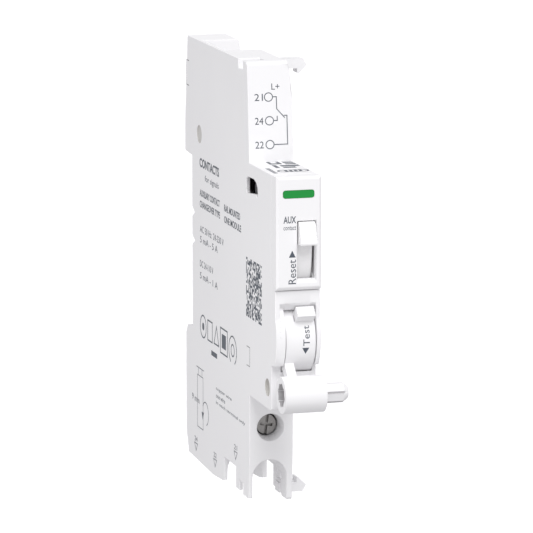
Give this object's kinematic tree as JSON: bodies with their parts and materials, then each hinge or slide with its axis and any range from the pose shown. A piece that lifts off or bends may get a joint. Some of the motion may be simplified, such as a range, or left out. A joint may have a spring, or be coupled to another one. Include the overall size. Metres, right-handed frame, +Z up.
{
  "type": "fault signalling contact module",
  "caption": "Narrow rail-mounted auxiliary module that clips beside a breaker, with a coupled toggle, test and reset buttons and a changeover contact on wire clamps.",
  "frame": {"origin": "centre of the rail recess on the plane where the rail's front rests, halfway across the module's width", "axes": "-Y forwards towards the operator, +Z up, +X to the right as seen from the front, towards the breaker it clips to"},
  "size_m": [0.0135, 0.0741, 0.088],
  "materials": {
    "housing_white": "fine moulded texture, satin",
    "cover_white": "fine moulded texture, satin",
    "cap_white": "smooth satin",
    "handle_white": "smooth satin",
    "key_white": "smooth satin",
    "button_white": "smooth satin",
    "green_ink": "printed, slightly glossy",
    "inner_plastic": "dark moulding, matt",
    "pin_steel": "ground",
    "spring_steel": "drawn wire",
    "contact_brass": "stamped strip",
    "contact_silver": "turned, dull",
    "screw_steel": "zinc plated, dull",
    "cage_steel": "zinc plated"
  },
  "bodies": {
    "housing": {"left_housing": "housing_white", "side_cover": "cover_white", "front_cap": "cap_white", "green_strip": "green_ink", "drum_axle": "pin_steel", "reset_axle": "pin_steel", "rocker_pin": "pin_steel", "test_spring": "spring_steel", "reset_spring": "spring_steel", "common_strip": "contact_brass", "rest_contact_strip": "contact_brass", "work_contact_strip": "contact_brass", "rest_contact_tip": "contact_silver", "work_contact_tip": "contact_silver", "middle_wire_clamp": "spring_steel", "rear_wire_clamp": "spring_steel"},
    "toggle": {"toggle_handle": "handle_white", "coupling_key": "key_white"},
    "test_button": {"test_lever": "button_white"},
    "reset_button": {"reset_lever": "button_white"},
    "trip_arm": {"trip_lever": "inner_plastic"},
    "rocker": {"contact_rocker": "inner_plastic", "contact_blade": "contact_brass", "moving_contact_tip": "contact_silver"},
    "screw": {"terminal_screw": "screw_steel"},
    "cage": {"terminal_cage": "cage_steel"}
  },
  "joints": [
    {"name": "toggle_swing", "type": "hinge", "parent": "housing", "child": "toggle", "pos_m": [0, -0.05545, -0.00965], "axis": [-1, 0, 0], "range_deg": [0, 83]},
    {"name": "test_press", "type": "hinge", "parent": "housing", "child": "test_button", "pos_m": [0, -0.05545, -0.00965], "axis": [1, 0, 0], "range_deg": [0, 24], "stiffness_Nm_per_rad": 0.005, "springref_deg": -17.19},
    {"name": "reset_drop", "type": "hinge", "parent": "housing", "child": "reset_button", "pos_m": [0, -0.046, 0.0085], "axis": [1, 0, 0], "range_deg": [0, 20]},
    {"name": "trip_swing", "type": "hinge", "parent": "housing", "child": "trip_arm", "pos_m": [0, -0.046, 0.0085], "axis": [1, 0, 0], "range_deg": [0, 20], "stiffness_Nm_per_rad": 0.001, "springref_deg": -11.46},
    {"name": "contact_rock", "type": "hinge", "parent": "housing", "child": "rocker", "pos_m": [0, -0.036, 0.002], "axis": [1, 0, 0], "range_deg": [-5, 0]},
    {"name": "screw_turn", "type": "hinge", "parent": "housing", "child": "screw", "pos_m": [-0.0001, -0.04, -0.03035], "axis": [0, 1, 0], "range_deg": [0, 1080]},
    {"name": "cage_lift", "type": "slide", "parent": "housing", "child": "cage", "axis": [0, -1, 0], "range_m": [0, 0.0015]}
  ],
  "couplings": [
    {"joint": "contact_rock", "follows": "reset_drop", "ratio": -0.25},
    {"joint": "screw_turn", "follows": "cage_lift", "rad_per_m": 12566}
  ]
}
